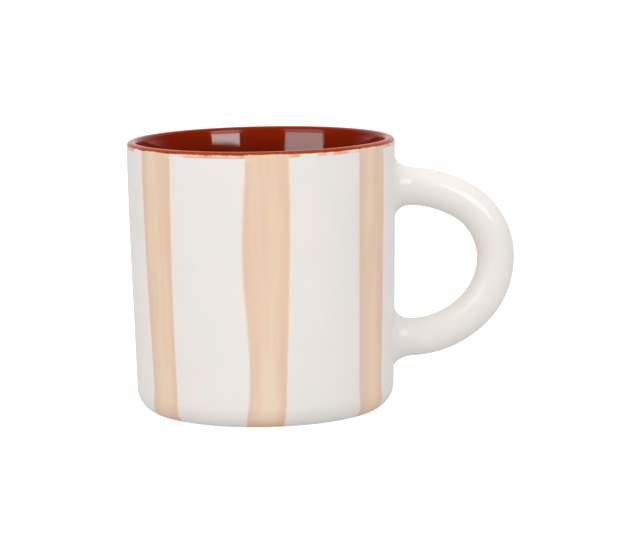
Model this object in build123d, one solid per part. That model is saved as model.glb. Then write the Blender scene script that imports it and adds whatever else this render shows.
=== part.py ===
"""A striped stoneware mug, as the pieces that it is built from.

Millimetres. +Z is up, the origin is the centre of the foot on the cup's axis, and the handle is on +X.
The clay cup and the clay handle are stuck together with slip, then coated with glaze:
rust inside, an orange band over the lip, white outside, with peach stripes sunk into the white.
"""
from build123d import *
import math
import os

# ---- driving dimensions ----------------------------------------------------------------------
coat = 0.3  # thickness of every glaze coat

# clay cup
clay_height = 86.0
clay_rim_radius = 42.2
clay_base_radius = 40.5  # where the wall's line would reach the table
wall_bow = 0.28  # how far the wall swells out of straight at half height
base_corner = 7.5
lip_thickness = 2.4
lip_round = 1.1
lip_flare_lean = 11.5  # the inside leans out this many degrees at the lip
lip_flare_curve = 95.0  # and straightens on an arc of this radius
inside_lean = 1.1  # until it leans out by only this much, down to the floor
floor_top = 5.0
floor_corner = 9.0
foot_width = 4.6
foot_edge_round = 0.4
recess_depth = 1.5
recess_corner = 1.0

# handle: one round tube on four arcs that run into each other, in the plane y = 0
handle_reach = 74.1  # cup axis to the tube's centre at its outermost point
handle_level = 47.3  # height of that outermost point
handle_clay_radius = 5.7
upper_bend = 20.9
upper_bend_angle = 59.3
upper_limb = 35.7
upper_limb_end = 105.0
lower_bend = 23.75
lower_bend_angle = 40.9
lower_limb = 29.0
lower_limb_end = 110.0
joint_fillet = 3.3  # the slip is smoothed into the wall with this radius
joint_reach = 3.7  # how far the slip pad stands out of the wall

# glaze borders
rim_band_drop = 1.5  # the orange band ends this far below the lip, outside
liner_drop = 2.0  # the rust liner ends this far below the lip, inside
glaze_line_angle = 68.0  # the white coat ends here on the base corner, down from level
base_glaze_radius = 27.1

# stripes, by their angle from the handle: three on each side, and one opposite it
stripe_angles = [35.0, 87.7, 139.3]
opposite_stripe_angle = 180.0
stripe_width_angle = 19.0
stripe_depth = 0.12

# ---- derived sizes ---------------------------------------------------------------------------
glazed_height = clay_height + coat
rim_band_edge = glazed_height - rim_band_drop
liner_edge = glazed_height - liner_drop
lip_middle = clay_rim_radius - lip_thickness / 2
foot_outer_radius = clay_base_radius - base_corner
foot_inner_radius = foot_outer_radius - foot_width
within_wall = 2.0  # this far in from the clay's outside is well within the wall
outside = clay_rim_radius + 20  # any radius well outside the cup
above = glazed_height + 20  # any height well above it

# The wall's outside is one large arc, and a coat on it has the same centre.
wall_taper = clay_rim_radius - clay_base_radius
wall_chord = math.hypot(wall_taper, clay_height)
wall_curve = (wall_chord**2 / 4 + wall_bow**2) / (2 * wall_bow)
wall_centre = (
    clay_base_radius + wall_taper / 2 - (wall_curve - wall_bow) * clay_height / wall_chord,
    clay_height / 2 + (wall_curve - wall_bow) * wall_taper / wall_chord,
)


# ---- sections and forms ------------------------------------------------------------------------
def polygon(*points):
    """A flat face with straight sides."""
    return make_face(Polyline(*points, close=True))


def rounded(face, rounds):
    """The face with corners rounded; rounds is a list of (radius, (x, y))."""
    for radius, (x, y) in rounds:
        corner = face.vertices().sort_by_distance((x, y, 0))[0]
        face = fillet(corner, radius)
    return face


def wall_point(height, grow):
    """The point at this height on the wall's outside, grown outwards by a coat."""
    rise = height - wall_centre[1]
    return (wall_centre[0] + math.sqrt((wall_curve + grow) ** 2 - rise**2), height)


def inside_arc_centre():
    """The centre of the arc on which the inside flares out to the lip; it lies outside the cup."""
    lean = math.radians(lip_flare_lean)
    lip_inner = clay_rim_radius - lip_thickness
    return (lip_inner + lip_flare_curve * math.cos(lean), clay_height - lip_flare_curve * math.sin(lean))


def inside_line(grow):
    """The inside of the wall from the lip to the floor, grown inwards by a coat: edges, top, bottom."""
    centre = inside_arc_centre()
    curve = lip_flare_curve + grow

    def on_arc(height):
        rise = height - centre[1]
        return (centre[0] - math.sqrt(curve**2 - rise**2), height)

    lean = math.radians(inside_lean)
    arc_end = (centre[0] - curve * math.cos(lean), centre[1] + curve * math.sin(lean))
    top = on_arc(clay_height + grow)
    middle = on_arc((clay_height + arc_end[1]) / 2)
    floor_height = floor_top + grow
    bottom = (arc_end[0] - (arc_end[1] - floor_height) * math.tan(lean), floor_height)
    edges = [ThreePointArc(top, middle, arc_end).edge(), Line(arc_end, bottom).edge()]
    return edges, top, bottom


def wall_line(low, high, grow):
    """The wall's outside between two heights, grown outwards by a coat."""
    return ThreePointArc(wall_point(low, grow), wall_point((low + high) / 2, grow), wall_point(high, grow))


def cup_section(grow):
    """Half section of the cup, as radius and height, grown on every side by a coat."""
    top_outer = wall_point(clay_height + grow, grow)
    inside_edges, top_inner, inner_corner = inside_line(grow)
    recess_rim = (foot_inner_radius - grow, recess_depth - grow)
    foot_inner = (foot_inner_radius - grow, -grow)
    foot_outer = wall_point(-grow, grow)
    lip = Line(top_outer, top_inner)
    base = Polyline(
        inner_corner,
        (0, floor_top + grow),
        (0, recess_depth - grow),
        recess_rim,
        foot_inner,
        foot_outer,
    )
    outer_edges = wall_line(-grow, clay_height + grow, grow).edges()
    sharp = make_face(outer_edges + lip.edges() + inside_edges + base.edges())
    rounds = [
        (lip_round + grow, top_outer),
        (lip_round + grow, top_inner),
        (floor_corner - grow, inner_corner),
        (recess_corner - grow, recess_rim),
        (foot_edge_round + grow, foot_inner),
        (base_corner + grow, foot_outer),
    ]
    return rounded(sharp, rounds)


def solid_section(grow):
    """Half section of the cup as if it were solid, for whatever meets its outside."""
    top = wall_point(clay_height, grow)
    bottom = wall_point(0, grow)
    rest = Polyline(top, (0, clay_height), (0, 0), bottom)
    return make_face(wall_line(0, clay_height, grow).edges() + rest.edges())


def turned(section, start=180.0, angle=360.0):
    """A section turned about the cup's axis, from this angle on; its seam is opposite the handle."""
    half_plane = Plane.XZ.rotated((0, 0, start))
    return revolve(half_plane * section, axis=Axis.Z, revolution_arc=angle)


def handle_path():
    """The handle's centreline, from its lower end inside the wall round to its upper one."""
    lower_turn = math.radians(-lower_bend_angle)
    upper_turn = math.radians(upper_bend_angle)
    lower_bend_centre = (handle_reach - lower_bend, handle_level)
    upper_bend_centre = (handle_reach - upper_bend, handle_level)
    lower_limb_centre = (
        lower_bend_centre[0] + (lower_bend - lower_limb) * math.cos(lower_turn),
        lower_bend_centre[1] + (lower_bend - lower_limb) * math.sin(lower_turn),
    )
    upper_limb_centre = (
        upper_bend_centre[0] + (upper_bend - upper_limb) * math.cos(upper_turn),
        upper_bend_centre[1] + (upper_bend - upper_limb) * math.sin(upper_turn),
    )
    arcs = [
        CenterArc(lower_limb_centre, lower_limb, -lower_limb_end, lower_limb_end - lower_bend_angle),
        CenterArc(lower_bend_centre, lower_bend, -lower_bend_angle, lower_bend_angle),
        CenterArc(upper_bend_centre, upper_bend, 0, upper_bend_angle),
        CenterArc(upper_limb_centre, upper_limb, upper_bend_angle, upper_limb_end - upper_bend_angle),
    ]
    return Plane.XZ * Wire([arc.edge() for arc in arcs])


def handle_tube(grow):
    """The handle as a plain tube whose ends run into the wall, grown by a coat."""
    path = handle_path()
    start = Plane(origin=path @ 0, x_dir=(0, 1, 0), z_dir=path % 0)
    return sweep(start * Circle(handle_clay_radius + grow), path=path)


def cup_with_handle(grow):
    """The handle on a solid cup, with the slip smoothed into a fillet where they meet."""
    cup = turned(solid_section(grow))
    tube = handle_tube(grow)
    joined = cup + tube
    seams = new_edges(cup, tube, combined=joined)
    return fillet(seams, joint_fillet - grow)


# ---- clay --------------------------------------------------------------------------------------
def make_clay():
    """The cup, the handle, and the slip pads that hold the handle on."""
    cup_form = turned(solid_section(0))
    pad_form = turned(solid_section(joint_reach))
    pads = (cup_with_handle(0) & pad_form) - cup_form
    lower_pad, upper_pad = pads.solids().sort_by(Axis.Z)
    return {
        "cup_body": turned(cup_section(0)),
        "handle": handle_tube(0) - pad_form,
        "lower_slip_joint": lower_pad,
        "upper_slip_joint": upper_pad,
    }


# ---- glaze -------------------------------------------------------------------------------------
def base_corner_point(distance):
    """A point this far from the base corner's centre, towards the line where the white coat ends."""
    turn = math.radians(glaze_line_angle)
    return (foot_outer_radius + distance * math.cos(turn), base_corner - distance * math.sin(turn))


def coat_borders():
    """The region of the half section that each turned coat may fill."""
    in_floor = base_corner_point(base_corner / 2)
    in_wall = (clay_base_radius - within_wall, floor_top + floor_corner)
    below = base_corner_point(2 * base_corner)
    return {
        "inner_glaze": polygon(
            (0, floor_top / 2), in_floor, in_wall, (lip_middle, liner_edge), (0, liner_edge)
        ),
        "rim_glaze": polygon(
            (0, liner_edge),
            (lip_middle, liner_edge),
            (lip_middle, rim_band_edge),
            (outside, rim_band_edge),
            (outside, above),
            (0, above),
        ),
        "wall_glaze": polygon(
            in_floor,
            below,
            (outside, below[1]),
            (outside, rim_band_edge),
            (lip_middle, rim_band_edge),
            in_wall,
        ),
        "base_glaze": polygon(
            (0, -recess_depth),
            (base_glaze_radius, -recess_depth),
            (base_glaze_radius, 2 * recess_depth),
            (0, 2 * recess_depth),
        ),
    }


def make_cup_coats():
    """The turned coats: liner, rim band, white wall and the recess under the base."""
    coats = cup_section(coat) - cup_section(0)
    return {name: turned(coats & border) for name, border in coat_borders().items()}


def make_stripes():
    """The peach stripes, flush with the white coat and less deep than it."""
    skin = cup_section(coat) - cup_section(coat - stripe_depth)
    section = skin & coat_borders()["wall_glaze"]
    near_side = [-angle for angle in stripe_angles]
    far_side = list(reversed(stripe_angles))
    stripes = {}
    for number, angle in enumerate(near_side + [opposite_stripe_angle] + far_side, start=1):
        start = angle - stripe_width_angle / 2
        stripes[f"stripe_{number}"] = turned(section, start, stripe_width_angle)
    return stripes


def make_handle_coat():
    """The white coat over the handle and both joints, outside the wall's own coat."""
    return cup_with_handle(coat) - turned(solid_section(coat)) - cup_with_handle(0)


# ---- the mug -----------------------------------------------------------------------------------
clay_pieces = make_clay()
cup_coats = make_cup_coats()
stripes = make_stripes()
pads = [clay_pieces["lower_slip_joint"], clay_pieces["upper_slip_joint"]]
cup_coats["wall_glaze"] = cup_coats["wall_glaze"] - pads - list(stripes.values())
nodes = {**clay_pieces, **cup_coats, **stripes, "handle_glaze": make_handle_coat()}

os.makedirs("parts", exist_ok=True)
for name, piece in nodes.items():
    solids = piece.solids()
    export_step(solids[0] if len(solids) == 1 else Compound(solids), f"parts/{name}.step")
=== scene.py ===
"""The looks of a striped stoneware mug, built around its packed clay pieces.

The mug's sizes are in millimetres and degrees; meshes, lights and the camera are in metres. +Z is up and the
handle is on +X.
The cup's half section is written as stations: each is a point on the clay, the direction out of the clay
there, and the depth of the coat. A coat's two faces are the same stations at two depths.
"""
import math

import bmesh
import bpy
import numpy as np
from mathutils import Matrix, Vector


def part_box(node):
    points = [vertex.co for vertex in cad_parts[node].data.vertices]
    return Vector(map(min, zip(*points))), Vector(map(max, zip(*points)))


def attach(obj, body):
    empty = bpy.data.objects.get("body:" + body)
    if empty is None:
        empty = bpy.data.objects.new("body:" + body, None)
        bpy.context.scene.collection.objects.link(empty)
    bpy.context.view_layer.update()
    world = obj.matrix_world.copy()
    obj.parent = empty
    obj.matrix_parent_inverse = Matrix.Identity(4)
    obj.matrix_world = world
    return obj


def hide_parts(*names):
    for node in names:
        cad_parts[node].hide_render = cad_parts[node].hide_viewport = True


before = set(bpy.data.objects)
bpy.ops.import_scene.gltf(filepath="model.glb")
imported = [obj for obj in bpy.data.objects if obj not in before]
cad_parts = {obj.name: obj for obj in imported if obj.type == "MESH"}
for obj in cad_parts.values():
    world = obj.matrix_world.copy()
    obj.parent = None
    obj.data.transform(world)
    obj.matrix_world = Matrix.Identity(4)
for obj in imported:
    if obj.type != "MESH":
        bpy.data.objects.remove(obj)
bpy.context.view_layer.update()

MM = 0.001
full_turn = 2 * math.pi

# ---- sizes from the frame ----------------------------------------------------------------------
clay_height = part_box("cup_body")[1].z / MM
glazed_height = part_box("rim_glaze")[1].z / MM
coat = glazed_height - clay_height
liner_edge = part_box("rim_glaze")[0].z / MM
band_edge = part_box("wall_glaze")[1].z / MM
base_coat_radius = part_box("base_glaze")[1].x / MM
recess_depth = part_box("base_glaze")[1].z / MM
floor_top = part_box("inner_glaze")[0].z / MM

# ---- sizes that a box doesn't give -------------------------------------------------------------
clay_rim_radius = 42.2
clay_base_radius = 40.5  # where the wall's line would reach the table
wall_bow = 0.28  # how far the wall swells out of straight at half height
base_corner = 7.5
lip_thickness = 2.4
lip_round = 1.1
lip_flare_lean = 11.5  # the inside leans out this many degrees at the lip
lip_flare_curve = 95.0  # and straightens on an arc of this radius
inside_lean = 1.1  # until it leans out by only this much, down to the floor
floor_corner = 9.0
glaze_line_angle = 68.0  # the white coat ends here on the base corner, down from level

# The handle's centreline is four arcs that run into each other: a bend and a limb above, and the same below.
handle_reach = 74.1  # cup axis to the tube's centre at its outermost point
handle_level = 47.3  # height of that outermost point
handle_clay_radius = 5.7
upper_bend = 20.9
upper_bend_angle = 59.3
upper_limb = 35.7
upper_limb_end = 105.0
lower_bend = 23.75
lower_bend_angle = 40.9
lower_limb = 29.0
lower_limb_end = 110.0

# The coat fills the joints a little more than the slip does: a fillet of this radius, which runs on
# along the handle by the stretch, and by more at the handle's two sides.
joint_fillet = 4.2
joint_stretch = 2.0
side_stretch = 1.5

# ---- how the coats lie -------------------------------------------------------------------------
coat_back = 0.05  # a coat's hidden face is this far off the clay
stripe_depth = 0.12
groove_slack = 0.01  # the groove under a stripe is this much deeper than the stripe
rim_overlap = 1.3  # the rim's coat runs on this far below the orange band's edge, and thins out there
coat_end_round = 0.8  # a coat's free end is rounded over this length
coat_end_depth = 0.02  # and is still this thick at its very edge
white_top = band_edge - rim_overlap

# Being made by hand, the cup's faces dip in by up to this depth, in waves: how many there are round the cup,
# the height over which each climbs by a radian, and its phase in radians.
hollow_depth = 0.1
hollow_waves = [(2, 19, 0.0), (3, -11, 1.7), (5, 8, 0.6)]
handle_dip = 0.1  # the same for the handle's face, in one wave along it
handle_dip_turn = 17  # which goes through this many radians over the handle's length

# ---- how fine the meshes are -------------------------------------------------------------------
stripe_columns = 22
gap_columns = 34
liner_columns = 288
rim_columns = 432
base_columns = 192
handle_columns = 96
handle_steps = 131
fillet_steps = 16
weld_distance = 1e-7  # in metres
sharp_angle = 35  # the shading breaks at an edge that turns by more than this


# ---- half section ------------------------------------------------------------------------------
def point_at(centre, distance, height, side):
    """The point this far from a centre and at this height, on its outer (1) or inner (-1) side."""
    return (centre[0] + side * math.sqrt(distance**2 - (height - centre[1]) ** 2), height)


def turn_of(centre, point):
    """The direction from a centre to a point, in degrees up from outwards."""
    return math.degrees(math.atan2(point[1] - centre[1], point[0] - centre[0]))


def arc(centre, radius, side, start, end, steps):
    """Stations on an arc between two directions; side is -1 where the clay is outside the arc."""
    stations = []
    for turn in np.radians(np.linspace(start, end, steps + 1)):
        out = (math.cos(turn), math.sin(turn))
        point = (centre[0] + radius * out[0], centre[1] + radius * out[1])
        stations.append((*point, side * out[0], side * out[1], coat))
    return stations


def straight(first, last, steps):
    """Stations on a straight run between two that face the same way, ends left out."""
    stations = np.linspace(first, last, steps + 1)[1:-1]
    return [tuple(station) for station in stations]


wall_taper = clay_rim_radius - clay_base_radius
wall_chord = math.hypot(wall_taper, clay_height)
wall_curve = (wall_chord**2 / 4 + wall_bow**2) / (2 * wall_bow)
wall_centre = (
    clay_base_radius + wall_taper / 2 - (wall_curve - wall_bow) * clay_height / wall_chord,
    clay_height / 2 + (wall_curve - wall_bow) * wall_taper / wall_chord,
)
flare_centre = (
    clay_rim_radius - lip_thickness + lip_flare_curve * math.cos(math.radians(lip_flare_lean)),
    clay_height - lip_flare_curve * math.sin(math.radians(lip_flare_lean)),
)
base_corner_centre = point_at(wall_centre, wall_curve - base_corner, base_corner, 1)
lip_outer_centre = point_at(wall_centre, wall_curve - lip_round, clay_height - lip_round, 1)
lip_inner_centre = point_at(flare_centre, lip_flare_curve - lip_round, clay_height - lip_round, -1)
liner_edge_turn = turn_of(flare_centre, point_at(flare_centre, lip_flare_curve + coat, liner_edge, -1))
white_top_turn = turn_of(wall_centre, point_at(wall_centre, wall_curve + coat, white_top, 1))


def inside_stations():
    """The inside, from the middle of the floor up to the orange band."""
    lean = math.radians(inside_lean)
    flare_foot = (
        flare_centre[0] - lip_flare_curve * math.cos(lean),
        flare_centre[1] + lip_flare_curve * math.sin(lean),
    )
    corner_height = floor_top + floor_corner
    line_radius = flare_foot[0] - (flare_foot[1] - corner_height) * math.tan(lean)
    corner_centre = (line_radius - floor_corner / math.cos(lean), corner_height)
    corner = arc(corner_centre, floor_corner, -1, -90, -inside_lean, steps=24)
    flare = arc(flare_centre, lip_flare_curve, 1, 180 - inside_lean, liner_edge_turn, steps=16)
    middle = (0, floor_top, 0, 1, coat)
    floor = [middle] + straight(middle, corner[0], steps=24)
    return floor + corner + straight(corner[-1], flare[0], steps=40) + flare


def band_stations():
    """The orange band, from inside the lip to where it has thinned out on the outside."""
    lip_inner = turn_of(flare_centre, lip_inner_centre)
    lip_outer = turn_of(wall_centre, lip_outer_centre)
    inner = arc(flare_centre, lip_flare_curve, 1, liner_edge_turn, lip_inner, steps=3)
    over_inner = arc(lip_inner_centre, lip_round, 1, lip_inner, 90, steps=12)
    over_outer = arc(lip_outer_centre, lip_round, 1, 90, lip_outer, steps=12)
    outer = arc(wall_centre, wall_curve, 1, lip_outer, white_top_turn, steps=5)
    return inner + over_inner[1:] + over_outer + outer[1:]


def wall_stations():
    """The outside, from the orange band down to where the white coat ends on the base corner."""
    corner = turn_of(wall_centre, base_corner_centre)
    wall = arc(wall_centre, wall_curve, 1, white_top_turn, corner, steps=52)
    base = arc(base_corner_centre, base_corner, 1, corner, -glaze_line_angle, steps=36)
    return rounded_off(wall + base[1:])


def base_stations():
    """The recess under the base, from its middle outwards."""
    middle = (0, recess_depth, 0, -1, coat)
    edge = (base_coat_radius, recess_depth, 0, -1, coat)
    rings = straight(middle, edge, steps=60)
    return rounded_off([middle] + rings + straight(rings[-1], edge, steps=6) + [edge])


def rounded_off(stations):
    """The stations with the coat rounded down to a thin edge at the last one."""
    end = Vector(stations[-1][:2])
    least = coat_back + coat_end_depth
    rounded = []
    for r, z, out_r, out_z, depth in stations:
        left = min(1.0, (Vector((r, z)) - end).length / coat_end_round)
        fall = math.sqrt(max(0.0, 1 - (1 - left) ** 2))
        rounded.append((r, z, out_r, out_z, least + (depth - least) * fall))
    return rounded


# ---- mesh building -----------------------------------------------------------------------------
def hollow(angle, height):
    """How far the cup's faces dip in at this angle from the handle and this height."""
    wave = sum(math.sin(count * angle + height / climb + phase) for count, climb, phase in hollow_waves)
    away_from_handle = math.sin(angle / 2) ** 2
    return hollow_depth * away_from_handle * (wave + len(hollow_waves)) / (2 * len(hollow_waves))


def turned_point(station, depth, angle):
    """A station at this depth above the clay and this angle from the handle, as x, y, z."""
    r, z, out_r, out_z = station[:4]
    depth = depth - hollow(angle, z) * r / clay_rim_radius
    radius = max(0.0, r + depth * out_r)
    return (radius * math.cos(angle), radius * math.sin(angle), z + depth * out_z)


def section_loop(stations, angles, drop=0.0, back=None):
    """One closed loop round a coat's section: along its face, and back along its hidden side.

    angles holds one angle for each station, and drop is how far the face lies below the coat's own.
    The hidden side is just off the clay, or else it lies this far back from the coat's own face.
    """
    face, hidden = [], []
    for station, angle in zip(stations, angles):
        depth = station[4]
        face.append(turned_point(station, depth - drop, angle))
        hidden.append(turned_point(station, coat_back if back is None else depth - back, angle))
    return face + hidden[::-1]


def shell(name, loops, closed):
    """A closed mesh from loops side by side; it runs right round, or else both ends are capped."""
    points = np.array(loops) * MM
    count, length = points.shape[:2]
    mesh = bmesh.new()
    rows = [[mesh.verts.new(point) for point in loop] for loop in points]
    for number in range(count if closed else count - 1):
        here, there = rows[number], rows[(number + 1) % count]
        for step in range(length):
            after = (step + 1) % length
            mesh.faces.new((here[step], here[after], there[after], there[step]))
    if not closed:
        for row in (rows[0], rows[-1]):
            for step in range(length // 2 - 1):
                mesh.faces.new((row[step], row[step + 1], row[-step - 2], row[-step - 1]))
    bmesh.ops.remove_doubles(mesh, verts=mesh.verts, dist=weld_distance)
    bmesh.ops.recalc_face_normals(mesh, faces=mesh.faces)
    for face in mesh.faces:
        face.smooth = True
    for edge in mesh.edges:
        edge.smooth = edge.calc_face_angle(0) < math.radians(sharp_angle)
    data = bpy.data.meshes.new(name)
    mesh.to_mesh(data)
    mesh.free()
    piece = bpy.data.objects.new(name, data)
    bpy.context.scene.collection.objects.link(piece)
    return piece


def turned_coat(name, stations, columns):
    """A coat that is the same all the way round."""
    turns = np.linspace(0, full_turn, columns, endpoint=False)
    loops = [section_loop(stations, [turn] * len(stations)) for turn in turns]
    return shell(name, loops, closed=True)


# ---- stripes -----------------------------------------------------------------------------------
# How each stripe's two brushed edges wander: by how many degrees, over what height, and the phase.
stripe_edge_waves = [
    ((0.3, 135, 70), (0.9, 170, -170)),
    ((1.1, 68, -106), (1.6, 170, -153)),
    ((1.3, 135, -20), (0.6, 135, 88)),
    ((0.8, 70, 40), (0.6, 110, 150)),
    ((0.5, 120, -60), (0.9, 60, 10)),
    ((1.0, 95, 100), (0.5, 75, -30)),
    ((0.6, 65, 0), (0.8, 125, 120)),
]
# How many degrees each edge has turned at the table's height, where the brush ran off over the base corner.
stripe_foot_turns = [(4, 8), (-2, -0.5), (-7, -3), (-1.5, 1.5), (2, 3), (-1, 1), (-3, -2)]
foot_turn_height = 11.0  # and it starts to turn at this height


def stripe_reach(node):
    """The angles of a CAD stripe's two sides from the handle, in radians and from 0 to a full turn."""
    points = np.array([v.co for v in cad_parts[node].data.vertices])
    middle = math.atan2(points[:, 1].mean(), points[:, 0].mean())
    angles = np.arctan2(points[:, 1], points[:, 0]) - middle
    angles = (angles + math.pi) % full_turn - math.pi
    middle = middle % full_turn
    return middle + angles.min(), middle + angles.max()


def brushed_edge(side_angle, wave, foot_turn, stations):
    """The angle of a stripe's brushed edge at each station."""
    swing, length, phase = wave
    angles = []
    for station in stations:
        wander = swing * math.cos(math.radians(360 * station[1] / length + phase))
        tucked_in = max(0.0, 1 - station[1] / foot_turn_height) ** 2
        angles.append(side_angle + math.radians(wander + foot_turn * tucked_in))
    return angles


def stripe_edges(stations):
    """{stripe: (its two edges, each as an angle for every station)}, in order round the cup."""
    edges = {}
    for number, (waves, foot_turns) in enumerate(zip(stripe_edge_waves, stripe_foot_turns), start=1):
        name = f"stripe_{number}"
        sides = zip(stripe_reach(name), waves, foot_turns)
        edges[name] = tuple(brushed_edge(side, wave, turn, stations) for side, wave, turn in sides)
    return dict(sorted(edges.items(), key=lambda item: item[1][0][0]))


def between(first, last, columns):
    """Columns of angles from one edge to the next, both included."""
    first, last = np.array(first), np.array(last)
    return [first + (last - first) * step / columns for step in range(columns + 1)]


def make_white_coat(stations, edges):
    """The white coat, with a shallow groove where each stripe lies."""
    groove = stripe_depth + groove_slack
    loops = []
    ordered = list(edges.values())
    for number, (left, right) in enumerate(ordered):
        following = ordered[(number + 1) % len(ordered)][0]
        if number == len(ordered) - 1:
            following = [angle + full_turn for angle in following]
        for angles in between(left, right, stripe_columns):
            loops.append(section_loop(stations, angles, drop=groove))
        for angles in between(right, following, gap_columns):
            loops.append(section_loop(stations, angles))
    return shell("white_coat", loops, closed=True)


def make_stripe(name, stations, left, right):
    """A stripe's layer of colour, flush with the white coat; its UV map runs across and up."""
    columns = between(left, right, stripe_columns)
    loops = [section_loop(stations, angles, back=stripe_depth) for angles in columns]
    piece = shell(name, loops, closed=False)
    stroke = piece.data.uv_layers.new(name="stroke")
    heights = [s[1] for s in stations][::-1]
    left_at, right_at = np.array(left)[::-1], np.array(right)[::-1]
    middle = (left_at.mean() + right_at.mean()) / 2
    for loop in piece.data.loops:
        x, y, z = piece.data.vertices[loop.vertex_index].co / MM
        angle = math.atan2(y, x)
        angle += full_turn * round((middle - angle) / full_turn)
        low, high = np.interp(z, heights, left_at), np.interp(z, heights, right_at)
        stroke.data[loop.index].uv = ((angle - low) / (high - low), z / clay_height)
    return piece


# ---- handle ------------------------------------------------------------------------------------
lower_bend_centre = (handle_reach - lower_bend, handle_level)
upper_bend_centre = (handle_reach - upper_bend, handle_level)


def limb_centre(bend_centre, bend, limb, turn):
    """The centre of a limb's arc, which runs on from its bend at this turn."""
    turn = math.radians(turn)
    step = bend - limb
    return (bend_centre[0] + step * math.cos(turn), bend_centre[1] + step * math.sin(turn))


lower_limb_centre = limb_centre(lower_bend_centre, lower_bend, lower_limb, -lower_bend_angle)
upper_limb_centre = limb_centre(upper_bend_centre, upper_bend, upper_limb, upper_bend_angle)
# The centreline's arcs, from below: the turn at which each ends, its centre and its radius.
handle_arcs = [
    (-lower_bend_angle, lower_limb_centre, lower_limb),
    (0.0, lower_bend_centre, lower_bend),
    (upper_bend_angle, upper_bend_centre, upper_bend),
    (upper_limb_end, upper_limb_centre, upper_limb),
]
side_on = Vector((0, 1, 0))
ball_reach = handle_clay_radius + joint_fillet
halvings = 50  # how often the search for a fillet's place halves its range
nearby = 0.1  # degrees to the point that gives the handle's direction at a fillet's end


def centreline(turn):
    """The handle's centreline at this turn, in degrees, and the direction out of its loop there."""
    centre, radius = next((c, r) for end, c, r in handle_arcs if turn <= end)
    out = Vector((math.cos(math.radians(turn)), 0, math.sin(math.radians(turn))))
    return Vector((centre[0], 0, centre[1])) + radius * out, out


def beside(turn, around, distance):
    """The point at this distance from the centreline, and the direction to it."""
    point, out = centreline(turn)
    direction = math.cos(around) * out + math.sin(around) * side_on
    return point + distance * direction, direction


def off_wall(point):
    """How far a point is off the clay wall, and the direction out of the wall there."""
    radius = math.hypot(point.x, point.y)
    out_r, out_z = radius - wall_centre[0], point.z - wall_centre[1]
    distance = math.hypot(out_r, out_z)
    out = Vector((out_r * point.x / radius, out_r * point.y / radius, out_z)) / distance
    return distance - wall_curve, out


def fillet_turn(around, limit):
    """The turn at which a ball that rests on the handle touches the wall too, before this limit."""
    clear, buried = 0.0, limit
    for _ in range(halvings):
        turn = (clear + buried) / 2
        ball, _ = beside(turn, around, ball_reach)
        if off_wall(ball)[0] > joint_fillet:
            clear = turn
        else:
            buried = turn
    return clear


def stretch_at(around):
    """How much further along the handle than the ball's contact its fillet runs."""
    return joint_stretch + side_stretch * math.sin(around) ** 2


def past_fillet(around, turn):
    """The turn at which the handle's own face starts, seen from where the ball touches both."""
    limb = upper_limb if turn > 0 else lower_limb
    return turn - math.copysign(math.degrees(stretch_at(around) / limb), turn)


def fillet_curve(around, turn, depth):
    """Points from the wall to the handle, past the ball that touches both; they crowd at both ends.

    They lie on a cubic curve whose pull at each end is that of a round arc between the same two directions,
    drawn out by the stretch at the handle's end.
    """
    ball, from_handle = beside(turn, around, ball_reach)
    to_wall, to_handle = -off_wall(ball)[1], -from_handle
    radius = joint_fillet - depth
    bend = to_wall.angle(to_handle)
    start = ball + radius * to_wall
    end_turn = past_fillet(around, turn)
    end, _ = beside(end_turn, around, handle_clay_radius + depth)
    before, _ = beside(end_turn + math.copysign(nearby, turn), around, handle_clay_radius + depth)
    up_from_wall = (to_handle - to_wall * math.cos(bend)).normalized()
    pull = radius * math.tan(bend / 4) * 4 / 3
    tangent = radius * math.tan(bend / 2)
    stretch = 1 + stretch_at(around) / tangent
    first = start + pull * up_from_wall
    second = end - pull * stretch * (end - before).normalized()
    points = []
    for step in range(fillet_steps + 1):
        share = (1 - math.cos(math.pi * step / fillet_steps)) / 2
        rest = 1 - share
        low = start * rest**3 + first * 3 * rest**2 * share
        points.append(low + second * 3 * rest * share**2 + end * share**3)
    return points


def handle_line(around, depth, lower, upper):
    """Points along the handle's coat, from the wall below to the wall above."""
    below = fillet_curve(around, lower, depth)
    above = fillet_curve(around, upper, depth)[::-1]
    first, last = past_fillet(around, lower), past_fillet(around, upper)
    along = []
    for share in np.linspace(0, 1, handle_steps)[1:-1]:
        wave = math.sin(handle_dip_turn * share + 2 * math.sin(around))
        dip = handle_dip / 2 * math.sin(math.pi * share) * (1 + wave)
        point, _ = beside(first + (last - first) * share, around, handle_clay_radius + depth - dip)
        along.append(point)
    return below + along + above


def make_handle_coat():
    """The white coat over the handle, run out into the wall through a fillet at each end."""
    loops = []
    for around in np.linspace(0, full_turn, handle_columns, endpoint=False):
        lower = fillet_turn(around, -lower_limb_end)
        upper = fillet_turn(around, upper_limb_end)
        face = handle_line(around, coat, lower, upper)
        hidden = handle_line(around, coat_back, lower, upper)
        loops.append([tuple(point) for point in face + hidden[::-1]])
    return shell("handle_coat", loops, closed=True)


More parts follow.
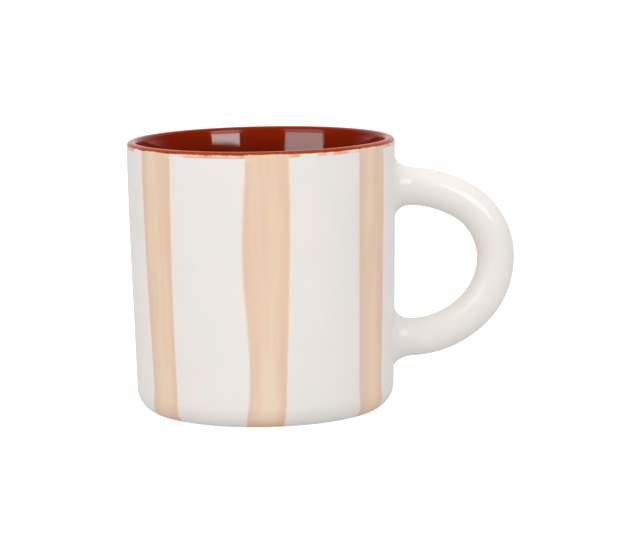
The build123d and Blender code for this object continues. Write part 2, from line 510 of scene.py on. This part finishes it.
# ---- materials ---------------------------------------------------------------------------------
class Finish:
    """A node material in the making; most methods add nodes and return the last one's output."""

    def __init__(self, name):
        self.material = bpy.data.materials.new(name)
        self.material.use_nodes = True
        self.tree = self.material.node_tree
        self.surface = self.tree.nodes["Principled BSDF"]
        place = self.node("ShaderNodeTexCoord").outputs["Object"]
        self.place = self.vector("SCALE", place, scale=1 / MM)
        apart = self.node("ShaderNodeSeparateXYZ", {0: self.place})
        self.x, self.y, self.height = apart.outputs
        self.angle = self.math("ARCTAN2", self.y, self.x)

    def node(self, kind, values=None, **settings):
        """Adds a node; values are for its inputs, each a number, a colour or another node's output."""
        node = self.tree.nodes.new(kind)
        for name, value in settings.items():
            setattr(node, name, value)
        for key, value in (values or {}).items():
            self.put(node.inputs[key], value)
        return node

    def put(self, socket, value):
        """Links an output to a socket, or sets the socket's own value."""
        if isinstance(value, bpy.types.NodeSocket):
            self.tree.links.new(value, socket)
        elif socket.type == "RGBA":
            socket.default_value = (*value, 1.0)
        else:
            socket.default_value = value

    def math(self, operation, first, second=0.0, third=0.0):
        """One operation on up to three numbers."""
        node = self.node("ShaderNodeMath", {0: first, 1: second, 2: third}, operation=operation)
        return node.outputs[0]

    def vector(self, operation, first, second=(0, 0, 0), scale=1.0):
        """One operation on up to two vectors, or on a vector and a scale."""
        values = {0: first, 1: second, 3: scale}
        return self.node("ShaderNodeVectorMath", values, operation=operation).outputs[0]

    def step(self, value, low, high):
        """0 below low and 1 above high, and smooth between them."""
        values = {"Value": value, "From Min": low, "From Max": high}
        return self.node("ShaderNodeMapRange", values, interpolation_type="SMOOTHSTEP").outputs[0]

    def flipped(self, value):
        """1 where the value is 0, and 0 where it is 1."""
        return self.math("SUBTRACT", 1.0, value)

    def noise(self, grain, detail, stretch=(1, 1, 1), seed=0.0):
        """Noise from 0 to 1, with lumps of about this many millimetres, times stretch."""
        shrunk = self.vector("DIVIDE", self.place, tuple(grain * s for s in stretch))
        moved = self.vector("ADD", shrunk, (seed, 1.7 * seed, -seed))
        values = {"Vector": moved, "Scale": 1.0, "Detail": detail}
        return self.node("ShaderNodeTexNoise", values).outputs["Fac"]

    def mix(self, share, first, second):
        """The first colour at a share of 0, the second at 1, and between them otherwise."""
        node = self.tree.nodes.new("ShaderNodeMix")
        node.data_type = "RGBA"
        self.put(node.inputs[0], share)
        self.put(node.inputs[6], first)
        self.put(node.inputs[7], second)
        return node.outputs[2]

    def specks(self, spacing, size, share, seed=0.0):
        """1 on small spots that fade out at this radius, in this share of cells about this far apart."""
        place = self.vector("ADD", self.place, (seed, seed, seed))
        cells = self.node("ShaderNodeTexVoronoi", {"Vector": place, "Scale": 1 / spacing})
        edge = size / spacing
        dot = self.flipped(self.step(cells.outputs["Distance"], edge / 2, edge))
        lot = self.node("ShaderNodeSeparateColor", {0: cells.outputs["Color"]}).outputs[0]
        return self.math("MULTIPLY", dot, self.math("LESS_THAN", lot, share))

    def bump(self, height, depth):
        """Raises the surface by this height times a depth in millimetres."""
        node = self.node("ShaderNodeBump", {"Height": height, "Distance": depth * MM, "Strength": 1.0})
        self.put(self.surface.inputs["Normal"], node.outputs[0])

    def done(self, colour, roughness, **uniform):
        """Sets the surface's colour and roughness, and its values that are the same all over."""
        self.put(self.surface.inputs["Base Color"], colour)
        self.put(self.surface.inputs["Roughness"], roughness)
        for name, value in uniform.items():
            self.surface.inputs[name.replace("_", " ")].default_value = value
        return self.material


WHITE_WARM = (0.826, 0.776, 0.748)
WHITE_COOL = (0.79, 0.762, 0.724)
PINHOLE = (0.45, 0.40, 0.34)
PEACH = (0.785, 0.58, 0.43)
PEACH_PINK = (0.765, 0.53, 0.40)
PEACH_CREAM = (0.84, 0.70, 0.52)
PEACH_DEEP = (0.74, 0.43, 0.28)
ORANGE = (0.385, 0.05, 0.003)
ORANGE_RED = (0.29, 0.026, 0.002)
SALMON = (0.76, 0.36, 0.22)
SALMON_PALE = (0.80, 0.56, 0.46)
BROWN_LINE = (0.35, 0.22, 0.14)
RUST = (0.165, 0.009, 0.0004)
RUST_BRIGHT = (0.25, 0.015, 0.001)
CLAY_LIGHT = (0.60, 0.49, 0.38)
CLAY_DARK = (0.50, 0.39, 0.29)
SLIP_LIGHT = (0.62, 0.52, 0.41)
SLIP_DARK = (0.54, 0.43, 0.33)
CLAY_SPECK = (0.25, 0.17, 0.1)

soft_shine = 0.17  # the specular level of the outside's coats, which are less glossy than the inside
liner_roughness = 0.05
rim_roughness = 0.12
clay_roughness = 0.85
white_roughness = 0.04  # the least, as for the stripes
stripe_roughness = 0.05
satin_swing = 0.06  # how much rougher than their least the white and the stripes are in places
peel_relief = 0.012  # how deep the orange peel is, in millimetres
hole_relief = 3.0  # how many times deeper a pinhole is than the peel
liner_relief = 0.03
clay_relief = 0.08

# The stripes' zones, by how far off the nearer edge a place is, as a share of the stripe's width.
white_fringe = (0.012, 0.065)  # the white gives way to a creamy line here
cream_fringe = (0.03, 0.09)  # the creamy line to a pinker margin
pink_margin = (0.07, 0.3)  # and the margin to the streaks
cream_middle = (0.2, 0.5)  # which are creamier towards the middle
cream_fade = (10.0, 75.0)  # the heights between which the middle's cream fades upwards
pool_heights = (1.2, 3.2)  # the colour is pooled below the first height, and no longer at the second

painted_light_depths = (9, 1)  # painted light: the rust is painted brighter between these two depths below the lip, as if lit more there


def pinholes(f):
    """1 in the few tiny holes of a fired coat."""
    return f.specks(spacing=5.0, size=0.16, share=0.3)


def white_tone(f):
    """Warm white with faint clouds and a few pinholes."""
    clouds = f.step(f.noise(grain=14, detail=3), 0.35, 0.65)
    tone = f.mix(clouds, WHITE_WARM, WHITE_COOL)
    fine = f.math("MULTIPLY", f.noise(grain=0.8, detail=2, seed=3), 0.12)
    tone = f.mix(fine, tone, WHITE_COOL)
    return f.mix(f.math("MULTIPLY", pinholes(f), 0.55), tone, PINHOLE)


def peach_tone(f):
    """Peach with the streaks of the brush, which run down the wall."""
    streaks = f.noise(grain=1.5, detail=3, stretch=(1, 1, 22), seed=5)
    broad = f.noise(grain=5, detail=2, stretch=(1, 1, 7), seed=8)
    blots = f.specks(spacing=3.0, size=0.2, share=0.35, seed=2)
    tone = f.mix(f.math("MULTIPLY_ADD", f.step(streaks, 0.3, 0.7), 0.7, 0.3), PEACH_PINK, PEACH)
    tone = f.mix(f.math("MULTIPLY", f.step(broad, 0.4, 0.75), 0.45), tone, PEACH_CREAM)
    return f.mix(f.math("MULTIPLY", blots, 0.3), tone, PEACH_PINK)


def glaze_relief(f):
    """The faint orange peel of a fired coat, with its pinholes."""
    peel = f.noise(grain=1.6, detail=2, seed=11)
    f.bump(f.math("SUBTRACT", peel, f.math("MULTIPLY", pinholes(f), hole_relief)), peel_relief)


def satin(f, least):
    """A roughness from this least value up, in slow patches."""
    return f.math("MULTIPLY_ADD", f.noise(grain=6, detail=3, seed=1), satin_swing, least)


def white_glaze():
    """The satin white of the outside, the handle and the recess."""
    f = Finish("white_glaze")
    glaze_relief(f)
    return f.done(white_tone(f), satin(f, white_roughness), Specular_IOR_Level=soft_shine)


def peach_glaze():
    """The stripe's colour: a pale fringe that thins out to the white, and a creamier middle lower down."""
    f = Finish("peach_stripe")
    stroke = f.node("ShaderNodeUVMap", uv_map="stroke").outputs[0]
    across = f.node("ShaderNodeSeparateXYZ", {0: stroke}).outputs[0]
    # How far off the nearer edge a place is: 0 at the edge, 0.5 in the middle, and a little uneven.
    off_edge = f.math("SUBTRACT", 0.5, f.math("ABSOLUTE", f.math("SUBTRACT", across, 0.5)))
    uneven = f.noise(grain=0.9, detail=3, stretch=(1, 1, 4), seed=4)
    ragged = f.math("MULTIPLY_ADD", uneven, 0.03, off_edge)
    streaked = f.math("MULTIPLY_ADD", f.step(ragged, *pink_margin), 0.75, 0.25)
    tone = f.mix(streaked, PEACH_PINK, peach_tone(f))
    creamier_below = f.math("MULTIPLY_ADD", f.step(f.height, *cream_fade), -0.4, 0.45)
    tone = f.mix(f.math("MULTIPLY", f.step(ragged, *cream_middle), creamier_below), tone, PEACH_CREAM)
    pooled = f.flipped(f.step(f.height, *pool_heights))
    tone = f.mix(f.math("MULTIPLY", pooled, 0.5), tone, PEACH_DEEP)
    tone = f.mix(f.step(ragged, *cream_fringe), PEACH_CREAM, tone)
    tone = f.mix(f.step(ragged, *white_fringe), white_tone(f), tone)
    glaze_relief(f)
    return f.done(tone, satin(f, stripe_roughness), Specular_IOR_Level=soft_shine)


def rust_tone(f):
    """Deep rust, with painted light: a little brighter near the lip, as if lit more there from above."""
    drift = f.step(f.noise(grain=9, detail=3, stretch=(1, 1, 3), seed=6), 0.35, 0.7)
    tone = f.mix(f.math("MULTIPLY", drift, 0.35), RUST, RUST_BRIGHT)
    # painted light: the rust is painted brighter towards the lip, standing in for the light that falls in
    # from above
    painted_lip_light = f.step(f.height, *(clay_height - depth for depth in painted_light_depths))
    return f.mix(painted_lip_light, tone, RUST_BRIGHT)


def rust_glaze():
    """The glossy liner."""
    f = Finish("rust_glaze")
    f.bump(f.noise(grain=3, detail=2, stretch=(1, 1, 4), seed=9), liner_relief)
    return f.done(rust_tone(f), liner_roughness)


# The rim's borders, in millimetres.
film_drop = 0.3  # the salmon film ends this far below the orange band's edge in CAD
band_lift = (0.4, 0.65)  # and the orange thins out between these two heights above it
band_sway = 0.8  # how far the borders rise and fall at most, slowly round the cup
band_fray = 0.5  # and how far the orange's does in its ragged detail
rust_reach = (1.2, 0.2)  # the rust turns to orange between these two distances inside the lip's inner round
film_fade = 0.15  # the film fades out over this height
film_line = (0.04, 0.16)  # the brown line is dark up to this far off its middle, and gone this far off
around_only = (1, 1, 100)  # a stretch that leaves noise changing only round the cup
stripe_share = (0.88, 0.95)  # a stripe gives way to the white between these two shares of its half width


def rim_glaze():
    """Orange over the lip; inside it darkens to rust, and outside it breaks up over the white.

    Between the stripes a salmon film runs on below the orange here and there, and ends in a brown line.
    """
    f = Finish("orange_rim_glaze")
    on_stripe = stripes_below(f)
    below = f.mix(on_stripe, white_tone(f), peach_tone(f))
    mottle = f.step(f.noise(grain=1.6, detail=3, seed=7), 0.4, 0.65)
    orange = f.mix(f.math("MULTIPLY", mottle, 0.7), ORANGE, ORANGE_RED)
    # The borders sway and fray, because a place counts as higher or lower than it is.
    swaying = f.noise(grain=6, detail=2, stretch=around_only, seed=12)
    fraying = f.noise(grain=0.5, detail=2, seed=13)
    sway = f.math("MULTIPLY_ADD", swaying, band_sway, -band_sway / 2)
    fray = f.math("MULTIPLY_ADD", fraying, band_fray, -band_fray / 2)
    level = f.math("ADD", f.math("ADD", f.height, sway), fray)
    film_level = f.math("ADD", f.height, f.math("MULTIPLY", sway, 0.5))
    # The salmon film, with its brown line.
    runs = f.step(f.noise(grain=10, detail=1, stretch=around_only, seed=21), 0.42, 0.52)
    film = f.math("MULTIPLY", runs, f.flipped(on_stripe))
    film_edge = band_edge - film_drop
    filmed = f.mix(f.step(f.noise(grain=5, detail=2, seed=16), 0.35, 0.65), SALMON, SALMON_PALE)
    above_edge = f.step(film_level, film_edge, film_edge + film_fade)
    tone = f.mix(f.math("MULTIPLY", film, above_edge), below, filmed)
    off_line = f.math("ABSOLUTE", f.math("SUBTRACT", film_level, film_edge))
    line = f.math("MULTIPLY", film, f.flipped(f.step(off_line, *film_line)))
    tone = f.mix(f.math("MULTIPLY", line, 0.6), tone, BROWN_LINE)
    # The orange over it all, and the rust inside.
    tone = f.mix(f.step(level, *(band_edge + lift for lift in band_lift)), tone, orange)
    radius = f.math("SQRT", f.math("ADD", f.math("POWER", f.x, 2.0), f.math("POWER", f.y, 2.0)))
    inside = f.flipped(f.step(radius, *(lip_inner_centre[0] - reach for reach in rust_reach)))
    glaze_relief(f)
    return f.done(f.mix(inside, tone, rust_tone(f)), rim_roughness, Specular_IOR_Level=soft_shine)


def stripes_below(f):
    """1 where a stripe ends under the orange band, and 0 elsewhere."""
    share = 0.0
    for left, right in stripe_edges(wall_stations()[:1]).values():
        middle, half = (left[0] + right[0]) / 2, (right[0] - left[0]) / 2
        off = f.math("WRAP", f.math("SUBTRACT", f.angle, middle), math.pi, -math.pi)
        outside = f.step(f.math("ABSOLUTE", off), *(half * part for part in stripe_share))
        share = f.math("ADD", share, f.flipped(outside))
    return share


def clay(name, light, dark):
    """Bare fired clay: matte, sandy and lightly specked."""
    f = Finish(name)
    grain = f.noise(grain=0.35, detail=4, seed=14)
    specks = f.specks(spacing=2.2, size=0.25, share=0.4, seed=6)
    tone = f.mix(f.step(f.noise(grain=6, detail=3, seed=15), 0.3, 0.7), light, dark)
    tone = f.mix(f.math("MULTIPLY", f.step(grain, 0.45, 0.75), 0.4), tone, dark)
    tone = f.mix(f.math("MULTIPLY", specks, 0.6), tone, CLAY_SPECK)
    f.bump(grain, clay_relief)
    return f.done(tone, clay_roughness)


# ---- the mug -----------------------------------------------------------------------------------
def dress(piece, material, slot, *nodes):
    """Gives a piece its material and its body, and hides the CAD nodes that it stands for; the slot is not
    used.
    """
    piece.data.materials.append(material)
    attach(piece, "root")
    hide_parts(*nodes)


def build_mug():
    """Every coat and stripe as a new mesh, and the clay pieces as they are in their own materials."""
    white = white_glaze()
    peach = peach_glaze()
    wall = wall_stations()
    edges = stripe_edges(wall)
    dress(make_white_coat(wall, edges), white, "white_glaze", "wall_glaze")
    for node, (left, right) in edges.items():
        dress(make_stripe(f"brushed_{node}", wall, left, right), peach, "peach_stripe", node)
    liner = turned_coat("liner_coat", inside_stations(), liner_columns)
    dress(liner, rust_glaze(), "rust_glaze", "inner_glaze")
    rim = turned_coat("rim_coat", band_stations(), rim_columns)
    dress(rim, rim_glaze(), "orange_rim_glaze", "rim_glaze")
    base = turned_coat("base_coat", base_stations(), base_columns)
    dress(base, white, "white_glaze", "base_glaze")
    dress(make_handle_coat(), white, "white_glaze", "handle_glaze")
    bare = clay("stoneware_clay", CLAY_LIGHT, CLAY_DARK)
    slip = clay("joining_slip", SLIP_LIGHT, SLIP_DARK)
    materials = {"cup_body": bare, "handle": bare, "upper_slip_joint": slip, "lower_slip_joint": slip}
    for node, material in materials.items():
        for material_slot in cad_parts[node].material_slots:
            material_slot.material = material


# ---- studio, in metres -------------------------------------------------------------------------
floor_radius = 4.0
floor_sides = 64
floor_drop = 0.02 * MM  # so that the floor and the foot don't share a face
floor_albedo = 0.3
floor_roughness = 0.9
floor_glow = 0.4  # the floor shines on the mug a little
floor_seen_glow = 0.55  # and by this much more to the camera, which sees it white

# Each soft box: its azimuth, its lower and upper edges, its width, its level, and whether it shows in the
# mug's gloss or else lights the mug.
soft_boxes = {
    "right_box": (36, 0.27, 1.05, 0.62, 8.0, True),
    "left_box": (-43, 0.13, 1.0, 0.85, 4.5, True),
    "right_fill": (30, 0.1, 1.0, 0.8, 1.05, False),
    "left_fill": (-35, 0.1, 1.0, 0.8, 1.2, False),
}
box_distance = 1.1
box_edge = 0.43  # a soft box starts to dim this share of its width off its middle, and is dark at its edge
overhead_size = 1.2
overhead_height = 1.6
overhead_watts = 6
mug_middle = Vector((0, 0, clay_height * MM / 2))

# The camera's angles are in degrees, and its lens and sensor in millimetres.
camera_aim = Vector((0.018045, 0, 0.041858))
camera_distance = 0.9
camera_tilt = 8.471
camera_roll = -1.022
lens_length = 158.6
sensor_width = 36.0


def make_floor():
    """A wide pale disc, a hair below the foot; it is white to the camera and dimmer to the mug."""
    mesh = bmesh.new()
    bmesh.ops.create_circle(mesh, cap_ends=True, radius=floor_radius, segments=floor_sides)
    data = bpy.data.meshes.new("floor")
    mesh.to_mesh(data)
    mesh.free()
    floor = bpy.data.objects.new("floor", data)
    floor.location.z = -floor_drop
    bpy.context.scene.collection.objects.link(floor)
    f = Finish("floor")
    seen = f.node("ShaderNodeLightPath").outputs["Is Camera Ray"]
    f.put(f.surface.inputs["Emission Color"], (1, 1, 1))
    glow = f.math("MULTIPLY_ADD", seen, floor_seen_glow, floor_glow)
    f.put(f.surface.inputs["Emission Strength"], glow)
    data.materials.append(f.done((floor_albedo,) * 3, floor_roughness, Specular_IOR_Level=0.0))


def make_world():
    """White to the camera, and a fill on the mug that is stronger from the front.

    The mug's gloss sees a dark room with a pale wall behind the mug.
    """
    world = bpy.data.worlds.new("studio")
    world.use_nodes = True
    tree = world.node_tree
    background = tree.nodes["Background"]
    path = tree.nodes.new("ShaderNodeLightPath")
    direction = tree.nodes.new("ShaderNodeTexCoord").outputs["Generated"]

    def rising(towards, low, high, start, end):
        """A level from low to high, as the share of this direction in a ray's own goes from start to end."""
        along = tree.nodes.new("ShaderNodeVectorMath")
        along.operation = "DOT_PRODUCT"
        along.inputs[1].default_value = towards
        tree.links.new(direction, along.inputs[0])
        level = tree.nodes.new("ShaderNodeMapRange")
        level.interpolation_type = "SMOOTHSTEP"
        values = {"From Min": start, "From Max": end, "To Min": low, "To Max": high}
        for name, value in values.items():
            level.inputs[name].default_value = value
        tree.links.new(along.outputs["Value"], level.inputs["Value"])
        return level.outputs[0]

    def choose(switch, otherwise, chosen):
        """The chosen level where the switch is 1, and the other where it is 0."""
        node = tree.nodes.new("ShaderNodeMix")
        node.data_type = "FLOAT"
        tree.links.new(switch, node.inputs[0])
        for socket, value in ((node.inputs[2], otherwise), (node.inputs[3], chosen)):
            if isinstance(value, bpy.types.NodeSocket):
                tree.links.new(value, socket)
            else:
                socket.default_value = value
        return node.outputs[0]

    in_gloss = rising(towards=(0, 1, 0), low=0.02, high=0.8, start=0.1, end=0.8)
    fill = rising(towards=(-0.3, -0.95, 0), low=0.715, high=0.95, start=-1.0, end=1.0)
    lit = choose(path.outputs["Is Glossy Ray"], fill, in_gloss)
    tree.links.new(choose(path.outputs["Is Camera Ray"], lit, 1.0), background.inputs["Strength"])
    background.inputs["Color"].default_value = (1, 1, 1, 1)
    bpy.context.scene.world = world


def make_box(name, azimuth, low, high, width, level, glossy):
    """A soft box that faces the mug; azimuth is in degrees from -Y towards +X."""
    data = bpy.data.lights.new(name, "AREA")
    data.shape = "RECTANGLE"
    data.size = width
    data.size_y = high - low
    data.energy = level * width * (high - low) * math.pi
    lamp = bpy.data.objects.new(name, data)
    turn = math.radians(azimuth)
    lamp.location = (box_distance * math.sin(turn), -box_distance * math.cos(turn), (low + high) / 2)
    facing = mug_middle - lamp.location
    facing.z = 0
    lamp.rotation_euler = facing.to_track_quat("-Z", "Y").to_euler()
    lamp.visible_camera = False
    lamp.visible_glossy = glossy
    lamp.visible_diffuse = not glossy
    soften(data)
    bpy.context.scene.collection.objects.link(lamp)


def soften(light):
    """Dims a soft box towards its edges, which lie half its width or height off its middle."""
    light.use_nodes = True
    tree = light.node_tree
    place = tree.nodes.new("ShaderNodeSeparateXYZ")
    tree.links.new(tree.nodes.new("ShaderNodeNewGeometry").outputs["Parametric"], place.inputs[0])
    shares = []
    for across in place.outputs[:2]:
        off_middle = tree.nodes.new("ShaderNodeMath")
        off_middle.operation = "SUBTRACT"
        off_middle.inputs[1].default_value = 0.5
        tree.links.new(across, off_middle.inputs[0])
        distance = tree.nodes.new("ShaderNodeMath")
        distance.operation = "ABSOLUTE"
        tree.links.new(off_middle.outputs[0], distance.inputs[0])
        dim = tree.nodes.new("ShaderNodeMapRange")
        dim.interpolation_type = "SMOOTHSTEP"
        for name, value in {"From Min": 0.5, "From Max": box_edge, "To Min": 0.0, "To Max": 1.0}.items():
            dim.inputs[name].default_value = value
        tree.links.new(distance.outputs[0], dim.inputs["Value"])
        shares.append(dim.outputs[0])
    both = tree.nodes.new("ShaderNodeMath")
    both.operation = "MULTIPLY"
    for socket, share in zip(both.inputs, shares):
        tree.links.new(share, socket)
    tree.links.new(both.outputs[0], tree.nodes["Emission"].inputs["Strength"])


def make_lights():
    """Two soft boxes that show in the gloss, two that light the mug, and a soft one overhead."""
    for name, box in soft_boxes.items():
        make_box(name, *box)
    data = bpy.data.lights.new("overhead", "AREA")
    data.shape = "DISK"
    data.size = overhead_size
    data.energy = overhead_watts
    lamp = bpy.data.objects.new("overhead", data)
    lamp.location = (0, 0, overhead_height)
    lamp.visible_camera = False
    lamp.visible_glossy = False
    bpy.context.scene.collection.objects.link(lamp)


def make_camera():
    """A long lens, a little above the mug and a little to the right of its axis."""
    data = bpy.data.cameras.new("camera")
    data.lens = lens_length
    data.sensor_width = sensor_width
    camera = bpy.data.objects.new("camera", data)
    tilt = math.radians(camera_tilt)
    camera.location = camera_aim + camera_distance * Vector((0, -math.cos(tilt), math.sin(tilt)))
    level = Matrix.Rotation(math.pi / 2 - tilt, 4, "X")
    rolled = level @ Matrix.Rotation(math.radians(camera_roll), 4, "Z")
    camera.rotation_euler = rolled.to_euler()
    bpy.context.scene.collection.objects.link(camera)
    bpy.context.scene.camera = camera


build_mug()
make_floor()
make_world()
make_lights()
make_camera()
bpy.context.scene.view_settings.view_transform = "Standard"

bpy.context.view_layer.update()
